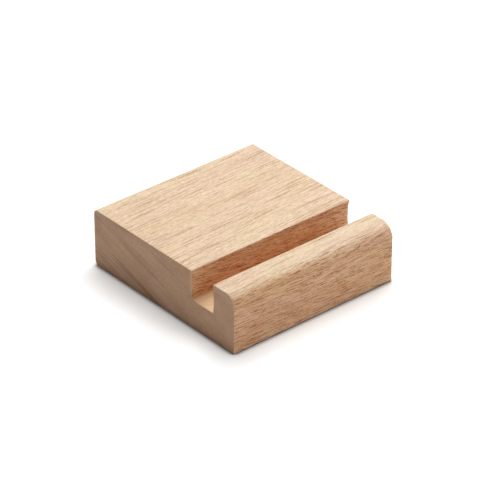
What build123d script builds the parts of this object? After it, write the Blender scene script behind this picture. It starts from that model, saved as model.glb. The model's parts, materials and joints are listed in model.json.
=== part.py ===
# Wooden photo block holder: one block of hardwood with a slot milled across it.
# A photo block stands upright in the slot, between the low front lip and the wide body behind it.
# Millimetres, +Z up. The origin is the middle of the underside.
# X runs along the grain and along the slot. The lip is at the front, towards -Y.
import os

from build123d import *

# The block as sawn
length = 95.0  # along the grain
depth = 100.0  # front to back
height = 30.0

# The slot, open at the top and at both ends
lip_thickness = 14.5  # wood left standing in front of the slot
slot_width = 15.0
slot_depth = 15.0
slot_corner = 0.5  # left by the cutter where the slot's walls meet its floor

# Edges that run along the grain
lip_round = 6.0  # large round-over on the lip's top front edge
back_round = 2.5  # both edges of the back face
front_ease = 0.8  # bottom edge of the front face
slot_ease = 0.6  # both top edges of the slot

# Edges round the two end faces, taken off by sanding
end_ease = 0.4


def cross_section():
    """The block's outline seen from one end, in Y and Z, with its long edges rounded."""
    front = -depth / 2
    back = depth / 2
    lip_back = front + lip_thickness
    slot_wall = lip_back + slot_width
    slot_floor = height - slot_depth
    # Each corner in turn, with the radius of its rounding
    corners = [
        ((front, 0), front_ease),
        ((back, 0), back_round),
        ((back, height), back_round),
        ((slot_wall, height), slot_ease),
        ((slot_wall, slot_floor), slot_corner),
        ((lip_back, slot_floor), slot_corner),
        ((lip_back, height), slot_ease),
        ((front, height), lip_round),
    ]
    outline = make_face(Polyline(*[place for place, radius in corners], close=True))
    for place, radius in corners:
        outline = fillet(outline.vertices().sort_by_distance(place)[0], radius)
    return outline


def holder_block():
    """The cross-section carried along the grain, with the rims of both end faces eased."""
    block = extrude(Plane.YZ * cross_section(), amount=length / 2, both=True)
    ends = block.faces().sort_by(Axis.X)
    rims = ends[0].edges() + ends[-1].edges()
    return fillet(rims, end_ease)


os.makedirs("parts", exist_ok=True)
block = holder_block()
block.label = "holder_block"
export_step(block, "parts/holder_block.step")

size = block.bounding_box().size
print(f"holder_block {size.X:.2f} x {size.Y:.2f} x {size.Z:.2f} mm, {block.volume / 1000:.1f} cm3")
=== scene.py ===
import json
import math

import bpy
import numpy as np
from mathutils import Matrix, Vector


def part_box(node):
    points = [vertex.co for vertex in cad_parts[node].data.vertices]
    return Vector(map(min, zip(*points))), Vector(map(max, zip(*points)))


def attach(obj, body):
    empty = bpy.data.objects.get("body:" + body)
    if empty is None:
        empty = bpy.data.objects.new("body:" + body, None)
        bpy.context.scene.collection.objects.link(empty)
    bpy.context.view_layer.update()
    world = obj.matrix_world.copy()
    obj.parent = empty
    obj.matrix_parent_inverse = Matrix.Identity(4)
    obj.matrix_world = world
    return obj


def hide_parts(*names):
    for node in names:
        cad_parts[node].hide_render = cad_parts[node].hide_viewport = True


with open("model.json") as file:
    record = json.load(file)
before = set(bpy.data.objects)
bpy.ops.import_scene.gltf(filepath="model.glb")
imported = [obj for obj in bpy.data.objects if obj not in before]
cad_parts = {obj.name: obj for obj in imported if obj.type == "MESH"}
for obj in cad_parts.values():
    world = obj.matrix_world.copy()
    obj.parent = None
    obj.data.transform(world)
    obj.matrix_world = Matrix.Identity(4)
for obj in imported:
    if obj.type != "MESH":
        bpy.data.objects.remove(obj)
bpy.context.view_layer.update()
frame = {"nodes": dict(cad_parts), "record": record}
scene = bpy.context.scene
scene.view_settings.view_transform = "Standard"
mm = 0.001  # the frame is in metres
mounts = {mount["name"]: mount for mount in frame["record"]["mounts"]}
print("frame loaded:", sorted(frame["nodes"]))


def linear(hexColour):
    # sRGB hex to the linear colour that the shader sockets take: c / 12.92 near black,
    # and above that (c + 0.055) / 1.055 to the power 2.4
    parts = [int(hexColour[i:i + 2], 16) / 255 for i in (1, 3, 5)]
    return tuple(c / 12.92 if c <= 0.04045 else ((c + 0.055) / 1.055) ** 2.4 for c in parts) + (1.0,)


def addNode(tree, kind, inputs=None, **settings):
    # One node with its settings; an input is either a socket to link or a value to set
    node = tree.nodes.new(kind)
    for name, value in settings.items():
        setattr(node, name, value)
    for key, value in (inputs or {}).items():
        if isinstance(value, bpy.types.NodeSocket):
            tree.links.new(value, node.inputs[key])
        else:
            node.inputs[key].default_value = value
    return node


# Camera, found by fitting the straight edges of the block
cameraView = {
    "turn": -40.412,  # degrees about Z, from looking along +Y
    "tilt": 31.725,  # degrees that it looks down
    "distance": 1409.5,  # mm
    "aim": (3.337, 10.366),  # mm right of and above the middle of the underside, in the picture
    "focalLength": 3044.8,  # pixels
    "imageWidth": 500,  # pixels
    "sensorWidth": 36.0,  # mm
    "clip": (0.05, 50.0),  # nearest and farthest, in metres
}


def placeCamera(view):
    # right is level, ahead dips by the tilt, and up is right cross ahead.
    # The camera stands back from its aim by the distance along ahead.
    turn = math.radians(view["turn"])
    tilt = math.radians(view["tilt"])
    right = Vector((math.cos(turn), math.sin(turn), 0.0))
    ahead = Vector((-math.sin(turn) * math.cos(tilt), math.cos(turn) * math.cos(tilt), -math.sin(tilt)))
    up = right.cross(ahead)
    data = bpy.data.cameras.new("photoCamera")
    data.sensor_width = view["sensorWidth"]
    data.lens = view["focalLength"] / view["imageWidth"] * view["sensorWidth"]
    data.clip_start, data.clip_end = view["clip"]
    camera = bpy.data.objects.new("photoCamera", data)
    aim = (right * view["aim"][0] + up * view["aim"][1]) * mm
    axes = Matrix((right, up, -ahead)).transposed().to_4x4()
    camera.matrix_world = Matrix.Translation(aim - ahead * view["distance"] * mm) @ axes
    scene.collection.objects.link(camera)
    scene.camera = camera


placeCamera(cameraView)
print("camera placed")


# Studio: a big soft panel overhead, behind and to the right, and three weak ones in front, in a nearly
# dark room. The floor is white paper, with a narrow shade painted on it where it meets the block.
studioLight = {  # metres and watts
    "roomColour": "#ffffff",
    "roomStrength": 0.10,  # as light; the camera sees the room at full strength
    "panels": [
        # name, place, side and power, each aimed at the block
        ("overheadPanel", (0.68, 0.65, 1.91), 1.71, 44.4),
        ("frontPanel", (0.36, -0.95, 0.62), 0.40, 2.34),
        ("upperPanel", (0.70, -0.70, 1.50), 0.60, 2.6),
        ("rightPanel", (0.85, -0.75, 0.15), 0.40, 0.55),
    ],
    "floorSide": 8.0,
    "floorColour": "#f4f4f3",
    "floorLift": 0.34,  # glow added for the camera, so that the lit floor reads white
    "contactReach": 0.003,  # painted shade: the floor's colour and glow are darkened this near to the block
    "contactShade": (0.45, 0.95),  # open share of the sky at which the lift is gone, and whole
    "contactSamples": 8,
}


def seenRays(tree):
    # 1 for a ray from the camera or one that gloss or glass sends on, otherwise 0: the largest of the three
    path = addNode(tree, "ShaderNodeLightPath").outputs
    seen = path["Is Camera Ray"]
    for ray in ("Is Glossy Ray", "Is Transmission Ray"):
        seen = addNode(tree, "ShaderNodeMath", {0: seen, 1: path[ray]}, operation="MAXIMUM").outputs[0]
    return seen


def lightRoom(light):
    world = bpy.data.worlds.new("paleRoom")
    scene.world = world
    world.use_nodes = True
    tree = world.node_tree
    tree.nodes.clear()
    strength = addNode(tree, "ShaderNodeMapRange", {
        "Value": seenRays(tree), "To Min": light["roomStrength"], "To Max": 1.0}).outputs[0]
    room = addNode(tree, "ShaderNodeBackground", {
        "Color": linear(light["roomColour"]), "Strength": strength}).outputs[0]
    addNode(tree, "ShaderNodeOutputWorld", {"Surface": room})


def hangPanels(light):
    for name, place, side, power in light["panels"]:
        data = bpy.data.lights.new(name, "AREA")
        data.shape = "SQUARE"
        data.size = side
        data.energy = power
        panel = bpy.data.objects.new(name, data)
        panel.location = place
        panel.rotation_euler = (-Vector(place)).to_track_quat("-Z", "Y").to_euler()
        scene.collection.objects.link(panel)


def mattPaper(light):
    # Painted shade: the paper's colour times how open the floor is there, and a camera glow that fades with
    # it
    material = bpy.data.materials.new("mattPaperSweep")
    material.use_nodes = True
    tree = material.node_tree
    tree.nodes.clear()
    # painted shade: the Ambient Occlusion darkens the paper's colour next to the block
    cover = addNode(tree, "ShaderNodeAmbientOcclusion", {
        "Color": linear(light["floorColour"]), "Distance": light["contactReach"]},
        samples=light["contactSamples"]).outputs
    paper = addNode(tree, "ShaderNodeBsdfDiffuse", {"Color": cover["Color"]}).outputs[0]
    lift = addNode(tree, "ShaderNodeMapRange", {
        "Value": cover["AO"], "From Min": light["contactShade"][0], "From Max": light["contactShade"][1],
        "To Min": 0.0, "To Max": light["floorLift"]}).outputs[0]
    lift = addNode(tree, "ShaderNodeMath", {0: seenRays(tree), 1: lift}, operation="MULTIPLY").outputs[0]
    glow = addNode(tree, "ShaderNodeEmission", {"Strength": lift}).outputs[0]
    both = addNode(tree, "ShaderNodeAddShader", {0: paper, 1: glow}).outputs[0]
    addNode(tree, "ShaderNodeOutputMaterial", {"Surface": both})
    return material


def layFloor(light):
    half = light["floorSide"] / 2
    corners = [(-half, -half, 0), (half, -half, 0), (half, half, 0), (-half, half, 0)]
    mesh = bpy.data.meshes.new("studioFloor")
    mesh.from_pydata(corners, [], [(0, 1, 2, 3)])
    mesh.materials.append(mattPaper(light))
    floor = bpy.data.objects.new("studioFloor", mesh)
    scene.collection.objects.link(floor)


lightRoom(studioLight)
hangPanels(studioLight)
layFloor(studioLight)
print("studio set")


# The block: its length, depth and height come from the frame, the slot's place from its mount
blockShape = {  # millimetres
    "slotWidth": 15.0,
    "lipRound": 6.0,  # top front edge of the lip
    "backRound": 2.5,  # both edges of the back face
    "frontEase": 0.8,  # bottom edge of the front face
    "slotEase": 0.6,  # top edges of the slot
    "slotCorner": 0.5,  # where the slot's walls meet its floor
    "endEase": 0.35,  # rims of both end faces
    "easeSpread": 0.1,  # how much the sanding of a rim varies
    "easeWave": 4.0,  # and over what distance
    "lipWear": 0.6,  # added to the rim at the round-over, where hands rub it
    "wallWear": 1.5,  # and at the slot wall, where the cutter tore the fibres
    "lipBackWear": 0.5,  # and at the back of the lip
    "wearFade": 4,  # power by which wear falls off towards the ends of its stretch
    "chipDepth": 0.4,  # torn fibres where the cutter left the slot
    "chipWidth": 0.8,
    "chipRarity": 4,  # power that leaves few chips deep
    "seed": 5,
    "flatStep": 2.4,  # mesh spacing on a flat face
    "slotStep": 0.4,  # the same inside the slot
    "arcStep": 0.25,  # the same round an edge
    "arcFewest": 5,  # fewest steps round an edge
    "besideArc": 0.15,  # a first short step, so that an edge's shading doesn't spread over the flat
    "rimSteps": 6,
}


def flatRun(start, end, step, beside):
    # Even steps between two edges, with a short one at each end
    inner = np.linspace(start + beside, end - beside, math.ceil((end - start - 2 * beside) / step) + 1)
    return inner[:, None]


def fadingWear(most, count, power):
    # Wear along a stretch: most times 1 less s to the power, with s from -1 to 1, so none at either end
    return most * (1 - np.linspace(-1, 1, count) ** power)


def blockOutline(shape):
    # Straight runs between eight corners. A corner of radius r is a quarter arc:
    # centre - r cos(t) times the direction it leaves in + r sin(t) times the one it arrives in.
    low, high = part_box("holder_block")
    front, back, top = low.y / mm, high.y / mm, high.z / mm
    slotMiddle, slotFloor = mounts["slot_floor"]["pos_m"][1] / mm, mounts["slot_floor"]["pos_m"][2] / mm
    lipBack, slotWall = slotMiddle - shape["slotWidth"] / 2, slotMiddle + shape["slotWidth"] / 2
    flat, slot = shape["flatStep"], shape["slotStep"]
    # each corner, its radius and wear, then mesh step, wear and cut of the run that leaves it
    corners = [
        ((front, 0.0), shape["frontEase"], 0.0, flat, 0.0, 0.0),
        ((back, 0.0), shape["backRound"], 0.0, flat, 0.0, 0.0),
        ((back, top), shape["backRound"], 0.0, flat, 0.0, 0.0),
        ((slotWall, top), shape["slotEase"], 0.0, slot, shape["wallWear"], 1.0),
        ((slotWall, slotFloor), shape["slotCorner"], 0.0, slot, 0.0, 1.0),
        ((lipBack, slotFloor), shape["slotCorner"], 0.0, slot, shape["lipBackWear"], 1.0),
        ((lipBack, top), shape["slotEase"], 0.0, flat, 0.0, 0.0),
        ((front, top), shape["lipRound"], shape["lipWear"], flat, 0.0, 0.0),
    ]
    places = np.array([corner[0] for corner in corners])
    radii = [corner[1] for corner in corners]
    cuts = [corner[-1] for corner in corners]
    sides = np.roll(places, -1, 0) - places
    lengths = np.linalg.norm(sides, axis=1)
    leaving = sides / lengths[:, None]
    arriving = np.roll(leaving, 1, 0)
    points, headings, milled, worn = [], [], [], []
    for i, (place, radius, arcWear, step, runWear, cut) in enumerate(corners):
        arcSteps = max(shape["arcFewest"], math.ceil(radius * math.pi / 2 / shape["arcStep"]))
        turn = np.linspace(0, math.pi / 2, arcSteps + 1)[:, None]
        centre = place + radius * (leaving[i] - arriving[i])
        points.append(centre - radius * np.cos(turn) * leaving[i] + radius * np.sin(turn) * arriving[i])
        headings.append(np.cos(turn) * arriving[i] + np.sin(turn) * leaving[i])
        milled.append(np.full(len(turn), min(cut, cuts[i - 1])))
        worn.append(fadingWear(arcWear, len(turn), shape["wearFade"]))
        run = flatRun(radius, lengths[i] - radii[(i + 1) % len(radii)], step, shape["besideArc"])
        points.append(place + run * leaving[i])
        headings.append(np.repeat(leaving[i][None], len(run), 0))
        milled.append(np.full(len(run), cut))
        worn.append(fadingWear(runWear, len(run), shape["wearFade"]))
    points, headings = np.concatenate(points), np.concatenate(headings)
    outward = np.stack([headings[:, 1], -headings[:, 0]], 1)  # right of the heading
    return points, outward, np.concatenate(milled), np.concatenate(worn)


def wornRim(shape, outline, milled, worn, rng):
    # Radius of the eased rim at each point of the outline: the sanded radius, a slow random change,
    # the wear, and chips on the milled part. Both random parts are heights at even steps along the
    # outline, and a few past its end, joined by straight lines.
    steps = np.linalg.norm(np.diff(outline, axis=0, append=outline[:1]), axis=1)
    along = np.cumsum(steps) - steps
    slowStep, chipStep = shape["easeWave"], shape["chipWidth"] / 2
    slow = np.arange(0, steps.sum() + 2 * slowStep, slowStep)
    short = np.arange(0, steps.sum() + 5 * chipStep, chipStep)
    spread = np.interp(along, slow, rng.uniform(-1, 1, len(slow))) * shape["easeSpread"]
    chips = np.interp(along, short, rng.random(len(short)) ** shape["chipRarity"]) * shape["chipDepth"]
    return shape["endEase"] + spread + worn + chips * milled


def carveBlock(shape):
    # The outline carried along X. At an end it is drawn in by r (1 - cos t) while X goes on by r sin t,
    # where r is the rim's own radius at that point.
    outline, outward, milled, worn = blockOutline(shape)
    rng = np.random.default_rng(shape["seed"])
    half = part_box("holder_block")[1].x / mm
    turn = np.linspace(0, math.pi / 2, shape["rimSteps"] + 1)[:, None]
    mostWear = max(shape["lipWear"], shape["wallWear"], shape["lipBackWear"])
    inside = half - (shape["endEase"] + shape["easeSpread"] + shape["chipDepth"] + mostWear)
    middle = flatRun(-inside, inside, shape["flatStep"], shape["besideArc"])
    rows = []
    for side in (-1, 1):
        radius = wornRim(shape, outline, milled, worn, rng)
        drawnIn = radius * (1 - np.cos(turn))
        across = outline - drawnIn[..., None] * outward
        along = side * (half - radius * (1 - np.sin(turn)))
        rows.append(np.concatenate([along[..., None], across], -1))
    body = np.empty((len(middle), len(outline), 3))
    body[..., 0] = middle
    body[..., 1:] = outline
    skin = np.concatenate([rows[0][::-1], body, rows[1]])

    count, ring = skin.shape[:2]
    index = np.arange(count * ring).reshape(count, ring)
    beside = np.roll(index, -1, 1)
    quads = np.stack([index[:-1], beside[:-1], beside[1:], index[1:]], -1).reshape(-1, 4)
    ends = [index[0, ::-1].tolist(), index[-1].tolist()]
    mesh = bpy.data.meshes.new("slottedBlock")
    mesh.from_pydata((skin.reshape(-1, 3) * mm).tolist(), [], quads.tolist() + ends)
    mesh.polygons.foreach_set("use_smooth", np.repeat([True, False], [len(quads), len(ends)]))
    milledFaces = np.concatenate([np.tile(milled, count - 1), np.zeros(len(ends))])
    mesh.attributes.new("milled", "FLOAT", "FACE").data.foreach_set("value", milledFaces)
    block = bpy.data.objects.new("slottedBlock", mesh)
    scene.collection.objects.link(block)
    return block


slottedBlock = carveBlock(blockShape)
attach(slottedBlock, "root")
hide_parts("holder_block")
print("block carved:", len(slottedBlock.data.polygons), "faces")


# Rubberwood, planed and sanded bare: pale and matt, with thin brown pore lines along the grain,
# long on the flat-sawn faces and short on the edges, and greyer slanting rings on the end grain.
# The cutter left the slot's walls torn and its floor calm; the walls' orange-brown is partly painted shade.
woodFinish = {
    "faceColour": "#f7e4cd",  # flat-sawn, top and underside; paler than the edges partly as painted sheen
    "edgeColour": "#f2ceae",  # front, back and slot walls
    "endColour": "#e3c0a6",
    "pinkTint": "#fffaf8",  # the hue drifts slowly between these two
    "yellowTint": "#fffdf3",
    # colour that each layer multiplies in, and its strength on the faces, the edges and the end grain
    "layers": {
        "slotFloor": ("#fff3df", 1.0, 0.0, 0.0),  # fresh cut, warmer
        "band": ("#f6ece0", 0.6, 1.0, 0.4),  # broad bands along the grain
        "cloud": ("#ebe3dc", 0.0, 0.0, 0.7),  # soft patches on the end grain
        "fibre": ("#c08450", 0.25, 0.68, 0.0),  # thin lines between the pores
        "grit": ("#cbae88", 0.50, 0.4, 0.4),  # fine marks left by sanding
        "ring": ("#c4b3a6", 0.0, 0.1, 0.64),  # growth rings
        "tornAndShaded": ("#d6a026", 0.0, 0.56, 0.0),  # fibres torn by the cutter, and painted shade of the slot's recess
        "stroke": ("#aa7c4a", 0.76, 0.36, 0.45),  # long pores, which are dots on the end grain
        "fleck": ("#b0753e", 0.2, 0.95, 0.0),  # short pores
    },
    "roughness": (0.60, 0.74),  # of the wood, and inside a pore
    "ior": 1.5,
    "specularLevel": 0.25,
    "poreDepth": 0.015,  # millimetres
    "endTurn": (0.7, 0.97),  # X of the normal where end grain begins, and where it is all end grain
    "edgeTurn": (0.4, 0.95),  # the same for Y and the edges
    "runOut": (0.026, -0.015),  # how far the grain leaves X, in Y and Z for each millimetre
    "edgeLean": 0.04,  # how far the lines on the edges fall for each millimetre along X
    "wallLean": 0.07,  # and how much farther on the slot walls
    "waveSize": (24.0, 14.0, 8.0),  # slow waves in the lines on the edges, in millimetres
    "waveHeight": 0.5,
    "waveSpan": (0.25, 0.75),  # noise at the bottom and at the top of a wave
    "ringTilt": 16.0,  # degrees that the rings rise towards the back
    "ringFade": (-18.0, 8.0),  # Y where the rings begin to show and where they are full, in millimetres
    # X where torn fibres and painted shade on the slot walls begin and are full, from each end, in mm
    "tearAndShadeSpan": ((-49.0, -39.0), (44.0, 26.0)),
    "slotLines": 0.4,  # share of the lines left on the slot's floor
    # size of each noise along X, Y and Z in millimetres, its detail, and the values from which it begins
    # and is full
    "noises": {
        "hue": ((60.0, 16.0, 9.0), 1.0, 0.40, 0.62),
        "band": ((160.0, 7.0, 4.0), 2.0, 0.35, 0.70),
        "cloud": ((30.0, 22.0, 9.0), 1.0, 0.35, 0.70),
        "track": ((60.0, 3.0, 2.0), 1.0, 0.22, 0.46),  # crowds the long pores
        "broken": ((1.5, 0.5, 0.5), 1.0, 0.36, 0.58),  # cuts up the short ones
        "gap": ((24.0, 0.8, 0.8), 1.0, 0.32, 0.50),  # ends a long pore
        "bead": ((1.2, 0.5, 0.5), 1.0, 0.24, 0.50),  # and thins it here and there
        "fibre": ((70.0, 0.34, 0.34), 1.0, 0.54, 0.68),
        "grit": ((2.6, 0.32, 0.32), 1.0, 0.38, 0.68),
        "tornAndShaded": ((2.6, 0.42, 0.42), 1.0, 0.38, 0.74),
        "patch": ((40.0, 40.0, 6.0), 1.0, 0.32, 0.56),  # where the rings show
        "ring": ((60.0, 60.0, 1.0), 2.0, 0.44, 0.62),
    },
    "noiseRoughness": 0.55,
    # size of a pore's cell, how near to its middle the pore begins and is full, and what breaks it up.
    # Real pores are about 0.2 mm wide. These are drawn coarser, up to 0.35 mm, so that they show.
    "pores": {
        "stroke": ((180.0, 0.46, 0.40), 0.40, 0.26, ("track", "gap", "bead")),
        "fleck": ((13.0, 0.38, 0.38), 0.45, 0.29, ("broken",)),
    },
}


def sandedRubberwood(finish):
    # One base colour for each cut of the wood, multiplied by a tint for each layer.
    # A layer's share is its pattern times its strength on that cut.
    material = bpy.data.materials.new("sandedRubberwood")
    material.use_nodes = True
    tree = material.node_tree
    tree.nodes.clear()
    place = addNode(tree, "ShaderNodeTexCoord").outputs["Object"]
    alongGrain, towardsBack = addNode(tree, "ShaderNodeSeparateXYZ", {0: place}).outputs[:2]
    normal = addNode(tree, "ShaderNodeNewGeometry").outputs["Normal"]
    facing = addNode(tree, "ShaderNodeSeparateXYZ", {0: normal}).outputs
    milled = addNode(tree, "ShaderNodeAttribute", attribute_name="milled").outputs["Fac"]

    # how far the surface is turned to the end grain, and to the edge of the rings
    turned = []
    for axis, (begin, full) in (("X", finish["endTurn"]), ("Y", finish["edgeTurn"])):
        amount = addNode(tree, "ShaderNodeMath", {0: facing[axis]}, operation="ABSOLUTE").outputs[0]
        turned.append(addNode(tree, "ShaderNodeMapRange", {
            "Value": amount, "From Min": begin, "From Max": full},
            interpolation_type="SMOOTHSTEP").outputs[0])
    endShare, edgeShare = turned

    # on the edges the lines run in slow waves and fall along X, and fall faster on the slot walls
    waveGrid = addNode(tree, "ShaderNodeMapping", {
        "Vector": place, "Scale": [side * mm for side in finish["waveSize"]]},
        vector_type="TEXTURE").outputs[0]
    wave = addNode(tree, "ShaderNodeTexNoise", {
        "Vector": waveGrid, "Scale": 1.0, "Detail": 1.0}).outputs["Fac"]
    wave = addNode(tree, "ShaderNodeMapRange", {
        "Value": wave, "From Min": finish["waveSpan"][0], "From Max": finish["waveSpan"][1],
        "To Min": -finish["waveHeight"] * mm, "To Max": finish["waveHeight"] * mm}).outputs[0]
    fall = addNode(tree, "ShaderNodeMath", {
        0: milled, 1: finish["wallLean"], 2: finish["edgeLean"]}, operation="MULTIPLY_ADD").outputs[0]
    shift = addNode(tree, "ShaderNodeMath", {
        0: alongGrain, 1: fall, 2: wave}, operation="MULTIPLY_ADD").outputs[0]
    shift = addNode(tree, "ShaderNodeMath", {0: shift, 1: edgeShare}, operation="MULTIPLY").outputs[0]
    shift = addNode(tree, "ShaderNodeCombineXYZ", {"Z": shift}).outputs[0]
    place = addNode(tree, "ShaderNodeVectorMath", {0: place, 1: shift}, operation="ADD").outputs[0]

    # every pattern is stretched to its size and turned to the grain's own direction
    inY, inZ = finish["runOut"]
    lean = (math.radians(finish["ringTilt"]), -math.atan(inZ), math.atan(inY))
    grid = {}
    for name, pattern in (finish["noises"] | finish["pores"]).items():
        grid[name] = addNode(tree, "ShaderNodeMapping", {
            "Vector": place, "Rotation": lean, "Scale": [side * mm for side in pattern[0]]},
            vector_type="TEXTURE").outputs[0]

    share = {}
    for name, (_, detail, begin, full) in finish["noises"].items():
        noise = addNode(tree, "ShaderNodeTexNoise", {
            "Vector": grid[name], "Scale": 1.0, "Detail": detail,
            "Roughness": finish["noiseRoughness"]}).outputs["Fac"]
        share[name] = addNode(tree, "ShaderNodeMapRange", {
            "Value": noise, "From Min": begin, "From Max": full}).outputs[0]

    # pores: the middles of cells that are stretched along the grain, broken up by noises
    for name, (_, begin, full, others) in finish["pores"].items():
        middle = addNode(tree, "ShaderNodeTexVoronoi", {
            "Vector": grid[name], "Scale": 1.0}).outputs["Distance"]
        share[name] = addNode(tree, "ShaderNodeMapRange", {
            "Value": middle, "From Min": begin, "From Max": full},
            interpolation_type="SMOOTHSTEP").outputs[0]
        for other in others:
            share[name] = addNode(tree, "ShaderNodeMath", {
                0: share[name], 1: share[other]}, operation="MULTIPLY").outputs[0]

    # growth rings show in patches, and fade out towards the slot
    ringFade = addNode(tree, "ShaderNodeMapRange", {
        "Value": towardsBack, "From Min": finish["ringFade"][0] * mm,
        "From Max": finish["ringFade"][1] * mm}).outputs[0]
    for other in (share["patch"], ringFade):
        share["ring"] = addNode(tree, "ShaderNodeMath", {
            0: share["ring"], 1: other}, operation="MULTIPLY").outputs[0]

    # fibres are torn and shade is painted on the milled faces, less so near their open ends
    tearAndShadeSpan = []
    for begin, full in finish["tearAndShadeSpan"]:
        tearAndShadeSpan.append(addNode(tree, "ShaderNodeMapRange", {
            "Value": alongGrain, "From Min": begin * mm, "From Max": full * mm}).outputs[0])
    for other in (milled, *tearAndShadeSpan):
        share["tornAndShaded"] = addNode(tree, "ShaderNodeMath", {
            0: share["tornAndShaded"], 1: other}, operation="MULTIPLY").outputs[0]

    # the fresh cut of the slot's floor shows few lines
    share["slotFloor"] = addNode(tree, "ShaderNodeMath", {
        0: milled, 1: edgeShare}, operation="SUBTRACT", use_clamp=True).outputs[0]
    calm = addNode(tree, "ShaderNodeMapRange", {
        "Value": share["slotFloor"], "To Min": 1.0, "To Max": finish["slotLines"]}).outputs[0]
    for name in ("band", "grit", "stroke", "fleck"):
        share[name] = addNode(tree, "ShaderNodeMath", {
            0: share[name], 1: calm}, operation="MULTIPLY").outputs[0]

    # colour: the cut of the face first, then its hue, then each layer multiplies it.
    # Sockets 6 and 7 of a Mix node are its two colours, and 2 and 3 its two numbers.
    colour = addNode(tree, "ShaderNodeMix", {
        0: edgeShare, 6: linear(finish["faceColour"]), 7: linear(finish["edgeColour"])},
        data_type="RGBA").outputs[2]
    colour = addNode(tree, "ShaderNodeMix", {
        0: endShare, 6: colour, 7: linear(finish["endColour"])}, data_type="RGBA").outputs[2]
    hue = addNode(tree, "ShaderNodeMix", {
        0: share["hue"], 6: linear(finish["pinkTint"]), 7: linear(finish["yellowTint"])},
        data_type="RGBA").outputs[2]
    colour = addNode(tree, "ShaderNodeMix", {
        0: 1.0, 6: colour, 7: hue}, data_type="RGBA", blend_type="MULTIPLY").outputs[2]
    for name, (tint, onFace, onEdge, onEnd) in finish["layers"].items():
        strength = addNode(tree, "ShaderNodeMix", {0: edgeShare, 2: onFace, 3: onEdge}).outputs[0]
        strength = addNode(tree, "ShaderNodeMix", {0: endShare, 2: strength, 3: onEnd}).outputs[0]
        share[name] = addNode(tree, "ShaderNodeMath", {
            0: share[name], 1: strength}, operation="MULTIPLY").outputs[0]
        colour = addNode(tree, "ShaderNodeMix", {
            0: share[name], 6: colour, 7: linear(tint)}, data_type="RGBA", blend_type="MULTIPLY").outputs[2]

    # relief and sheen: open pores are sunk and dull
    depth = addNode(tree, "ShaderNodeMath", {
        0: share["stroke"], 1: share["fleck"]}, operation="ADD").outputs[0]
    relief = addNode(tree, "ShaderNodeBump", {
        "Height": depth, "Distance": finish["poreDepth"] * mm, "Strength": 1.0}, invert=True).outputs[0]
    dull = addNode(tree, "ShaderNodeMapRange", {
        "Value": depth, "To Min": finish["roughness"][0], "To Max": finish["roughness"][1]}).outputs[0]
    surface = addNode(tree, "ShaderNodeBsdfPrincipled", {
        "Base Color": colour, "Roughness": dull, "Normal": relief,
        "IOR": finish["ior"], "Specular IOR Level": finish["specularLevel"]}).outputs[0]
    addNode(tree, "ShaderNodeOutputMaterial", {"Surface": surface})
    return material


slottedBlock.data.materials.append(sandedRubberwood(woodFinish))
print("wood finished")
